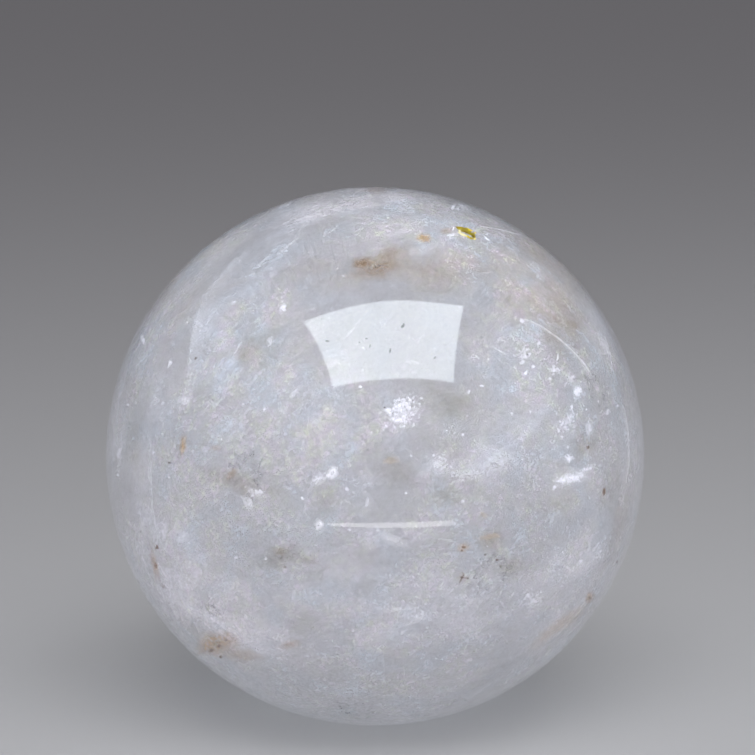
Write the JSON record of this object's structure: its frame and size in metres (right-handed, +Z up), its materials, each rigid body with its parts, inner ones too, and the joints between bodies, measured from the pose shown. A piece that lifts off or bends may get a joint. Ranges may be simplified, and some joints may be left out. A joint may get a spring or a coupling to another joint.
{
  "type": "quartz sphere",
  "caption": "Polished ball of cloudy rock crystal that stands by itself on a small ground flat spot.",
  "frame": {"origin": "middle of the flat spot on the underside, on the surface that the ball stands on", "axes": "+Z up, square to the flat spot and through the ball's centre; -Y is the side that the picture shows"},
  "size_m": [0.1, 0.1, 0.0988],
  "materials": {
    "polished_quartz": "polished"
  },
  "bodies": {
    "root": {"quartz_sphere": "polished_quartz"}
  },
  "joints": []
}
